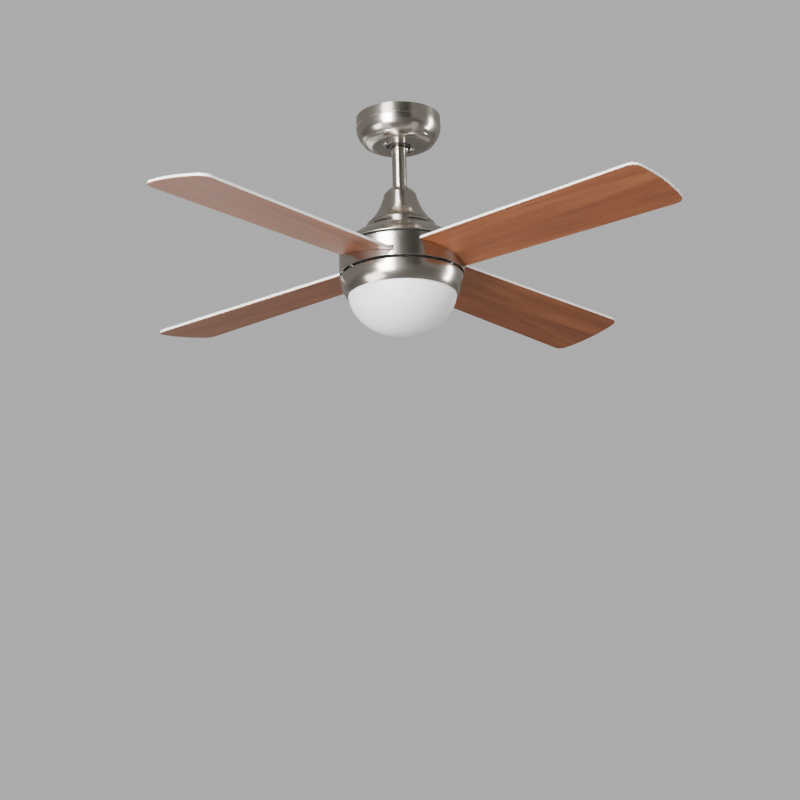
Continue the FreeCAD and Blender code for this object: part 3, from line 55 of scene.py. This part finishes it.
class Shader:
    """A material with its Principled shader and short ways to add and join nodes.

    Scales count features per metre and bump heights are in metres.
    """

    def __init__(self, name, colour, roughness, metallic=0.0):
        self.material = bpy.data.materials.new(name)
        self.material.use_nodes = True
        self.nodes = self.material.node_tree.nodes
        self.links = self.material.node_tree.links
        self.principled = self.nodes["Principled BSDF"]
        self.set("Base Color", (*colour, 1.0))
        self.set("Roughness", roughness)
        self.set("Metallic", metallic)
        self.place = self.nodes.new("ShaderNodeTexCoord").outputs["Object"]

    def set(self, name, value):
        self.principled.inputs[name].default_value = value

    def join(self, source, name):
        self.links.new(source, self.principled.inputs[name])

    def mapped(self, scale, turn=0.0, move=(0.0, 0.0, 0.0)):
        """Object coordinates turned about Z by minus the angle, then scaled and moved."""
        turned = self.nodes.new("ShaderNodeMapping")
        turned.inputs["Rotation"].default_value = (0.0, 0.0, -turn)
        self.links.new(self.place, turned.inputs["Vector"])
        scaled = self.nodes.new("ShaderNodeMapping")
        scaled.inputs["Scale"].default_value = scale
        scaled.inputs["Location"].default_value = move
        self.links.new(turned.outputs["Vector"], scaled.inputs["Vector"])
        return scaled.outputs["Vector"]

    def noise(self, vector, detail=4.0, roughness=0.55, distortion=0.0):
        texture = self.nodes.new("ShaderNodeTexNoise")
        texture.inputs["Scale"].default_value = 1.0
        texture.inputs["Detail"].default_value = detail
        texture.inputs["Roughness"].default_value = roughness
        texture.inputs["Distortion"].default_value = distortion
        self.links.new(vector, texture.inputs["Vector"])
        return texture.outputs["Fac"]

    def grain(self, scale, detail=4.0):
        """Noise of the same scale in all directions."""
        return self.noise(self.mapped((scale, scale, scale)), detail)

    def level_bands(self, scale, distortion=0.0):
        """Bands stacked along Z."""
        texture = self.nodes.new("ShaderNodeTexWave")
        texture.bands_direction = "Z"
        texture.inputs["Scale"].default_value = 1.0
        texture.inputs["Distortion"].default_value = distortion
        texture.inputs["Detail"].default_value = 3.0
        self.links.new(self.mapped((1.0, 1.0, scale)), texture.inputs["Vector"])
        return texture.outputs["Fac"]

    def ramp(self, source, stops):
        return colour_ramp(self.nodes, self.links, source, stops)

    def two_tone(self, source, dark, light, low=NOISE_LOW, high=NOISE_HIGH):
        """Base colour from dark to light along a source."""
        self.join(self.ramp(source, ((low, dark), (high, light))), "Base Color")

    def vary_roughness(self, source, low, high):
        """Roughness that runs from low to high over the source's middle range."""
        node = self.nodes.new("ShaderNodeMapRange")
        node.inputs["From Min"].default_value = NOISE_LOW
        node.inputs["From Max"].default_value = NOISE_HIGH
        node.inputs["To Min"].default_value = low
        node.inputs["To Max"].default_value = high
        self.links.new(source, node.inputs["Value"])
        self.join(node.outputs["Result"], "Roughness")

    def multiply(self, factor, first, second):
        """Two colours multiplied; the factor says how far the second one counts."""
        node = self.nodes.new("ShaderNodeMix")
        node.data_type = "RGBA"
        node.blend_type = "MULTIPLY"
        node.inputs["Factor"].default_value = factor
        self.links.new(first, node.inputs[MIX_FIRST_COLOUR])
        self.links.new(second, node.inputs[MIX_SECOND_COLOUR])
        return node.outputs[MIX_COLOUR_RESULT]

    def bump(self, source, height, strength):
        node = self.nodes.new("ShaderNodeBump")
        node.inputs["Strength"].default_value = strength
        node.inputs["Distance"].default_value = height
        self.links.new(source, node.inputs["Height"])
        self.join(node.outputs["Normal"], "Normal")


def shades(colour, spread):
    """A darker and a lighter version of a colour."""
    dark = tuple(part * (1.0 - spread) for part in colour)
    light = tuple(min(part * (1.0 + spread), 1.0) for part in colour)
    return dark, light


# ---------------------------------------------------------------- metals

def brushed_nickel():
    """Warm satin nickel, brushed round the fan's axis."""
    base = (0.56, 0.515, 0.465)
    shader = Shader("nickel_brushed", base, roughness=0.22, metallic=1.0)
    lines = shader.noise(shader.mapped((6.0, 6.0, 2600.0)), detail=3.0)
    cloud = shader.grain(14.0)
    shader.two_tone(lines, *shades(base, 0.07), low=0.35, high=0.65)
    shader.vary_roughness(cloud, 0.17, 0.24)
    shader.bump(lines, height=0.000012, strength=0.35)
    return shader.material


def zinc_plate():
    base = (0.40, 0.41, 0.42)
    shader = Shader("zinc_plated", base, roughness=0.42, metallic=1.0)
    patches = shader.grain(160.0, detail=6.0)
    shader.two_tone(patches, *shades(base, 0.18))
    shader.vary_roughness(patches, 0.36, 0.52)
    shader.bump(patches, height=0.00002, strength=0.5)
    return shader.material


def black_enamel():
    base = (0.012, 0.012, 0.013)
    shader = Shader("enamel_black", base, roughness=0.35)
    peel = shader.grain(900.0, detail=2.0)
    shader.two_tone(peel, base, (0.02, 0.02, 0.021))
    shader.vary_roughness(peel, 0.28, 0.42)
    shader.bump(peel, height=0.00002, strength=0.4)
    return shader.material


def cast_alloy():
    base = (0.52, 0.53, 0.545)
    shader = Shader("alloy_cast", base, roughness=0.5, metallic=1.0)
    sand = shader.grain(700.0, detail=6.0)
    cloud = shader.grain(40.0)
    shader.two_tone(cloud, *shades(base, 0.15))
    shader.vary_roughness(sand, 0.42, 0.6)
    shader.bump(sand, height=0.00006, strength=0.6)
    return shader.material


def lamination_steel():
    """Stacked thin sheets with stains."""
    base = (0.25, 0.255, 0.27)
    shader = Shader("sheets_stacked", base, roughness=0.42, metallic=1.0)
    sheets = shader.level_bands(640.0)
    stains = shader.noise(shader.mapped((90.0, 90.0, 30.0)), detail=6.0)
    shader.two_tone(stains, *shades(base, 0.35))
    shader.vary_roughness(stains, 0.34, 0.52)
    shader.bump(sheets, height=0.00008, strength=0.7)
    return shader.material


def bearing_steel():
    """Ground steel with fine lines round the axis."""
    base = (0.66, 0.67, 0.69)
    shader = Shader("steel_ground", base, roughness=0.14, metallic=1.0)
    lines = shader.noise(shader.mapped((20.0, 20.0, 3000.0)), detail=2.0)
    shader.two_tone(lines, *shades(base, 0.05))
    shader.vary_roughness(lines, 0.10, 0.2)
    return shader.material


def copper_wire():
    """Varnished copper turns."""
    shader = Shader("copper_wound", (0.56, 0.19, 0.07), roughness=0.3, metallic=1.0)
    turns = shader.level_bands(420.0, distortion=1.5)
    varnish = shader.grain(260.0, detail=5.0)
    shader.two_tone(varnish, (0.32, 0.09, 0.03), (0.68, 0.27, 0.11))
    shader.vary_roughness(varnish, 0.22, 0.42)
    shader.bump(turns, height=0.0004, strength=0.9)
    shader.set("Coat Weight", 0.4)
    return shader.material


def bulb_cap_metal():
    """Rolled cap: the bands stand for the thread."""
    shader = Shader("cap_rolled", (0.58, 0.58, 0.57), roughness=0.3, metallic=1.0)
    thread = shader.level_bands(98.0)
    wear = shader.grain(300.0)
    shader.two_tone(wear, (0.45, 0.45, 0.44), (0.68, 0.68, 0.67))
    shader.vary_roughness(wear, 0.22, 0.4)
    shader.bump(thread, height=0.001, strength=1.0)
    return shader.material


# ---------------------------------------------------------------- blades

def wood_laminate(number):
    """Walnut-tone grain along one blade, under a satin coat."""
    azimuth = math.radians(BLADE_AZIMUTH + 360.0 / BLADE_COUNT * (number - 1))
    own_figure = (0.0, 3.7 * number, 0.0)       # each blade is cut from its own part of the grain
    dark_wood = (0.210, 0.062, 0.020)
    middle_wood = (0.275, 0.085, 0.028)
    light_wood = (0.345, 0.116, 0.042)
    white = (1.0, 1.0, 1.0)
    shader = Shader(f"laminate_walnut_{number}", (0.22, 0.09, 0.05), roughness=0.42)

    def along_the_blade(scale):
        return shader.mapped(scale, azimuth, own_figure)

    figure = shader.noise(along_the_blade((2.2, 30.0, 30.0)), detail=3.0, roughness=0.5, distortion=1.2)
    streaks = shader.noise(along_the_blade((7.0, 210.0, 210.0)), detail=6.0, roughness=0.65, distortion=0.35)
    pores = shader.noise(along_the_blade((45.0, 1500.0, 1500.0)), detail=2.0, roughness=0.5)
    wide = shader.ramp(figure, ((0.30, dark_wood), (0.52, middle_wood), (0.72, light_wood)))
    fine = shader.ramp(streaks, ((0.32, (0.78, 0.73, 0.70)), (0.52, (0.96, 0.96, 0.96)), (0.75, white)))
    dots = shader.ramp(pores, ((0.30, (0.70, 0.64, 0.60)), (0.44, white), (1.0, white)))
    streaked = shader.multiply(1.0, wide, fine)
    shader.join(shader.multiply(0.8, streaked, dots), "Base Color")
    shader.vary_roughness(streaks, 0.36, 0.48)
    shader.bump(pores, height=0.00003, strength=0.4)
    shader.set("Coat Weight", 0.35)
    shader.set("Coat Roughness", 0.3)
    return shader.material


def white_board():
    base = (0.80, 0.79, 0.76)
    shader = Shader("board_white", base, roughness=0.45)
    peel = shader.grain(650.0, detail=3.0)
    cloud = shader.grain(9.0)
    shader.two_tone(cloud, *shades(base, 0.03))
    shader.vary_roughness(peel, 0.38, 0.5)
    shader.bump(peel, height=0.00002, strength=0.35)
    return shader.material


# ---------------------------------------------------------------- glass

def opal_glass():
    """White opal glass: light scatters in it under a satin skin."""
    shader = Shader("opal_white", (0.96, 0.96, 0.95), roughness=0.42)
    ripple = shader.grain(22.0, detail=2.0)
    shader.two_tone(ripple, (0.94, 0.94, 0.93), (0.98, 0.98, 0.97), low=0.25, high=0.75)
    shader.vary_roughness(ripple, 0.38, 0.46)
    shader.bump(ripple, height=0.0001, strength=0.2)
    shader.set("Subsurface Weight", 0.35)
    shader.set("Subsurface Radius", (0.02, 0.02, 0.018))
    shader.set("Subsurface Scale", 0.25)
    return shader.material


def frosted_bulb():
    shader = Shader("bulb_frosted", (0.88, 0.88, 0.86), roughness=0.35)
    frost = shader.grain(1200.0, detail=2.0)
    shader.two_tone(frost, (0.84, 0.84, 0.82), (0.91, 0.91, 0.89))
    shader.vary_roughness(frost, 0.28, 0.42)
    shader.bump(frost, height=0.00001, strength=0.5)
    shader.set("Subsurface Weight", 0.2)
    shader.set("Subsurface Scale", 0.1)
    return shader.material


# ---------------------------------------------------------------- plastics, rubber, circuit board

def moulded(name, base, roughness, grain_scale, grain_height):
    """Moulded plastic or rubber with a fine surface grain."""
    roughness_spread = 0.08
    shader = Shader(name, base, roughness)
    skin = shader.grain(grain_scale, detail=3.0)
    shader.two_tone(skin, *shades(base, 0.08))
    shader.vary_roughness(skin, roughness - roughness_spread, roughness + roughness_spread)
    shader.bump(skin, grain_height, strength=0.5)
    return shader.material


def dark_nylon():
    return moulded("nylon_dark", (0.03, 0.03, 0.031), 0.45, grain_scale=900.0, grain_height=0.00003)


def black_plastic():
    return moulded("plastic_black", (0.02, 0.02, 0.022), 0.5, grain_scale=1100.0, grain_height=0.00004)


def white_ceramic():
    return moulded("ceramic_white", (0.78, 0.77, 0.73), 0.3, grain_scale=500.0, grain_height=0.00002)


def lead_rubber():
    return moulded("rubber_dark", (0.035, 0.035, 0.038), 0.55, grain_scale=800.0, grain_height=0.00003)


def circuit_board():
    """Green solder mask with paler tracks round its cells."""
    shader = Shader("board_circuit", (0.02, 0.14, 0.06), roughness=0.35)
    cells = shader.nodes.new("ShaderNodeTexVoronoi")
    cells.feature = "DISTANCE_TO_EDGE"
    cells.inputs["Scale"].default_value = 1.0
    shader.links.new(shader.mapped((240.0, 240.0, 240.0)), cells.inputs["Vector"])
    tracks = shader.ramp(cells.outputs["Distance"], ((0.03, (0.05, 0.26, 0.12)),
                                                     (0.06, (0.02, 0.13, 0.055)),
                                                     (1.0, (0.015, 0.11, 0.05))))
    shader.join(tracks, "Base Color")
    shader.bump(cells.outputs["Distance"], height=0.0001, strength=0.3)
    return shader.material


# ---------------------------------------------------------------- dressing

def all_materials():
    """A material for each slot of the record; the laminate has one for each blade."""
    laminates = {f"blade_laminate_{n}": wood_laminate(n) for n in range(1, BLADE_COUNT + 1)}
    return {
        "nickel": brushed_nickel(),
        "zinc": zinc_plate(),
        "black_enamel": black_enamel(),
        "cast_alloy": cast_alloy(),
        "lamination_steel": lamination_steel(),
        "bearing_steel": bearing_steel(),
        "copper": copper_wire(),
        "dark_nylon": dark_nylon(),
        "black_plastic": black_plastic(),
        "white_plastic": white_ceramic(),
        "circuit_board": circuit_board(),
        "lead_insulation": lead_rubber(),
        "white_board": white_board(),
        "wood_laminate": laminates,
        "opal_glass": opal_glass(),
        "bulb_glass": frosted_bulb(),
        "bulb_cap": bulb_cap_metal(),
    }


def dress(slot_materials):
    """Give every CAD node the material of its slot in the record."""
    slots = {entry["node"]: entry["material_slot"] for entry in frame["record"]["subparts"]}
    for node, thing in frame["nodes"].items():
        material = slot_materials[slots[node]]
        if isinstance(material, dict):
            material = material[node]
        if not thing.material_slots:
            thing.data.materials.append(material)
        for slot in thing.material_slots:
            slot.material = material


# ---------------------------------------------------------------- floor and room

FLOOR_LEVEL = -4.6
FLOOR_SIZE = 60.0
FLOOR_TONE = (0.62, 0.62, 0.61)

BACKDROP_TONE = (0.52, 0.52, 0.52)
ROOM_TONE = (0.27, 0.263, 0.25)
DARK_TONE = (0.07, 0.066, 0.06)
DARK_WALL = (0.226, 0.350)      # part of a full turn, on the camera's side, that stays dark
DARK_WALL_FADE = 0.008          # part of a full turn over which its edges fade


def make_floor():
    half = FLOOR_SIZE / 2
    outline = ((-half, -half), (half, -half), (half, half), (-half, half))
    mesh = bpy.data.meshes.new("floor")
    mesh.from_pydata([(x, y, FLOOR_LEVEL) for x, y in outline], [], [(0, 1, 2, 3)])
    floor = bpy.data.objects.new("floor", mesh)
    bpy.context.collection.objects.link(floor)
    mesh.materials.append(Shader("floor_pale", FLOOR_TONE, roughness=0.8).material)


def room_walls(nodes, links):
    """Colour of the room round the fan: even, with one dark wall that the round metal mirrors."""
    direction = nodes.new("ShaderNodeTexCoord")
    turn = nodes.new("ShaderNodeTexGradient")
    turn.gradient_type = "RADIAL"
    links.new(direction.outputs["Generated"], turn.inputs["Vector"])
    start, end = DARK_WALL
    stops = ((0.0, ROOM_TONE), (start, ROOM_TONE), (start + DARK_WALL_FADE, DARK_TONE),
             (end - DARK_WALL_FADE, DARK_TONE), (end, ROOM_TONE), (1.0, ROOM_TONE))
    return colour_ramp(nodes, links, turn.outputs["Fac"], stops)


def make_world():
    """Pale backdrop behind the fan; a dimmer room for light and reflections."""
    world = bpy.data.worlds.new("studio")
    bpy.context.scene.world = world
    world.use_nodes = True
    nodes = world.node_tree.nodes
    links = world.node_tree.links
    nodes.clear()
    backdrop = nodes.new("ShaderNodeBackground")
    backdrop.inputs["Color"].default_value = (*BACKDROP_TONE, 1.0)
    room = nodes.new("ShaderNodeBackground")
    links.new(room_walls(nodes, links), room.inputs["Color"])
    seen = nodes.new("ShaderNodeLightPath")
    blend = nodes.new("ShaderNodeMixShader")
    output = nodes.new("ShaderNodeOutputWorld")
    links.new(seen.outputs["Is Camera Ray"], blend.inputs["Fac"])
    links.new(room.outputs["Background"], blend.inputs[MIX_FIRST_SHADER])
    links.new(backdrop.outputs["Background"], blend.inputs[MIX_SECOND_SHADER])
    links.new(blend.outputs["Shader"], output.inputs["Surface"])


# ---------------------------------------------------------------- lights

LIGHT_AIM = Vector((0.0, 0.0, -0.25))


def softbox(name, azimuth, distance, level, width, height, power):
    """An area light aimed at the fan; azimuth 0 is on the camera's side, positive to the right."""
    angle = math.radians(azimuth)
    data = bpy.data.lights.new(name, "AREA")
    data.shape = "RECTANGLE"
    data.size = width
    data.size_y = height
    data.energy = power
    lamp = bpy.data.objects.new(name, data)
    lamp.location = (distance * math.sin(angle), -distance * math.cos(angle), level)
    aim = LIGHT_AIM - Vector(lamp.location)
    lamp.rotation_euler = aim.to_track_quat("-Z", "Y").to_euler()
    bpy.context.collection.objects.link(lamp)


def make_lights():
    """Degrees, metres and watts."""
    softbox("key", azimuth=-29.0, distance=2.6, level=-0.2, width=1.15, height=2.4, power=250.0)
    softbox("side", azimuth=97.0, distance=2.6, level=-0.3, width=0.45, height=2.2, power=56.0)
    softbox("below", azimuth=-60.0, distance=3.0, level=-2.3, width=2.0, height=1.4, power=60.0)
    softbox("above", azimuth=-24.0, distance=1.0, level=1.5, width=0.35, height=1.6, power=16.0)
    softbox("rear", azimuth=-152.0, distance=4.0, level=-1.9, width=2.6, height=1.6, power=24.0)


# ---------------------------------------------------------------- camera

CAMERA_PLACE = (0.0, -3.6081, -1.5942)      # metres
CAMERA_PITCH = 0.2935                       # radians above level
CAMERA_YAW = 0.0024                         # radians to the left
CAMERA_ROLL = -0.0245                       # radians
CAMERA_LENS = 102.8                         # millimetres
CAMERA_SENSOR = 36.0                        # millimetres


def make_camera():
    """Camera below the fan, looking up at it."""
    forward = Vector((-math.sin(CAMERA_YAW) * math.cos(CAMERA_PITCH),
                      math.cos(CAMERA_YAW) * math.cos(CAMERA_PITCH),
                      math.sin(CAMERA_PITCH)))
    right = Vector((math.cos(CAMERA_YAW), math.sin(CAMERA_YAW), 0.0))
    up = right.cross(forward)
    turned_right = right * math.cos(CAMERA_ROLL) + up * math.sin(CAMERA_ROLL)
    turned_up = up * math.cos(CAMERA_ROLL) - right * math.sin(CAMERA_ROLL)
    data = bpy.data.cameras.new("camera")
    data.sensor_width = CAMERA_SENSOR
    data.lens = CAMERA_LENS
    camera = bpy.data.objects.new("camera", data)
    bpy.context.collection.objects.link(camera)
    axes = Matrix((turned_right, turned_up, -forward)).transposed()
    camera.matrix_world = Matrix.Translation(CAMERA_PLACE) @ axes.to_4x4()
    bpy.context.scene.camera = camera


# ---------------------------------------------------------------- the scene


dress(all_materials())
make_floor()
make_world()
make_lights()
make_camera()
